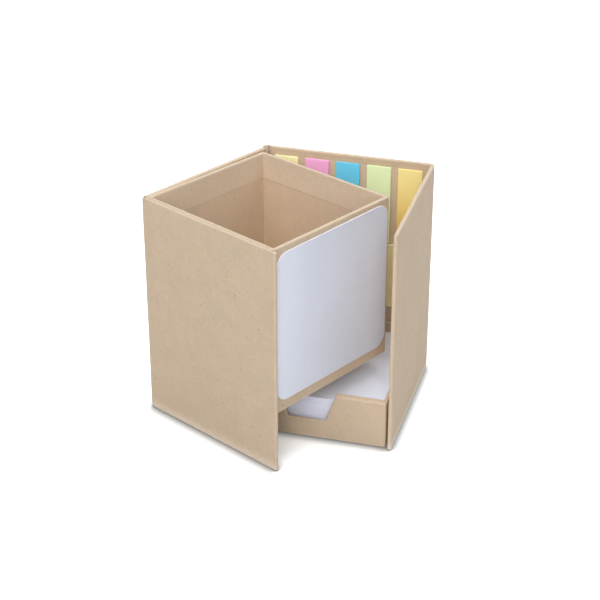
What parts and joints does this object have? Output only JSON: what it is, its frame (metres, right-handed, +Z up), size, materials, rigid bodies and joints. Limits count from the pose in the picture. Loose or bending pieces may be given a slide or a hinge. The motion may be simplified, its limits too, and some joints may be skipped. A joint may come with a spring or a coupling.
{
  "type": "memo pad holder with swing-out pen box",
  "caption": "Kraft paper desk cube: a hinged pen box with a white panel swings open over a memo tray with sticky notes and flags on the back cover.",
  "frame": {"origin": "centre of the memo tray's underside, on the table", "axes": "+X to the side cover, +Y to the back cover with the sticky pads, +Z up"},
  "size_m": [0.1462, 0.1349, 0.135],
  "materials": {
    "greyboard": "raw greyboard",
    "kraft_cover": "uncoated kraft paper with fine flecks",
    "kraft_lining": "uncoated kraft paper",
    "memo_paper": "uncoated white paper",
    "note_paper": "pale yellow note paper",
    "flag_pad_yellow": "smooth coloured paper",
    "flag_pad_pink": "smooth coloured paper",
    "flag_pad_blue": "smooth coloured paper",
    "flag_pad_green": "smooth coloured paper",
    "flag_pad_orange": "smooth coloured paper",
    "white_panel": "smooth white wipe-off film"
  },
  "bodies": {
    "shell": {"back_cover_board": "greyboard", "side_cover_board": "greyboard", "shell_cover_paper": "kraft_cover", "shell_lining_paper": "kraft_lining", "hinge_fold_paper": "kraft_cover", "tray_floor_board": "greyboard", "tray_back_board": "greyboard", "tray_left_board": "greyboard", "tray_right_board": "greyboard", "tray_front_board": "greyboard", "tray_front_inner_board": "greyboard", "tray_cover_paper": "kraft_cover", "tray_lining_paper": "kraft_lining", "tray_base_paper": "kraft_lining", "memo_block": "memo_paper", "sticky_note_pad": "note_paper", "flag_pad_yellow": "flag_pad_yellow", "flag_pad_pink": "flag_pad_pink", "flag_pad_blue": "flag_pad_blue", "flag_pad_green": "flag_pad_green", "flag_pad_orange": "flag_pad_orange"},
    "holder": {"front_cover_board": "greyboard", "left_cover_board": "greyboard", "holder_cover_paper": "kraft_cover", "holder_lining_paper": "kraft_lining", "pen_box_floor_board": "greyboard", "pen_box_back_board": "greyboard", "pen_box_left_board": "greyboard", "pen_box_right_board": "greyboard", "pen_box_front_board": "greyboard", "pen_box_cover_paper": "kraft_cover", "pen_box_lining_paper": "kraft_lining", "pen_box_base_paper": "kraft_lining", "whiteboard_panel": "white_panel"}
  },
  "joints": [
    {"name": "holder_swing", "type": "hinge", "parent": "shell", "child": "holder", "pos_m": [-0.0512, 0.04795, 0], "axis": [0, 0, -1], "range_deg": [-26.8, 153.2]}
  ]
}
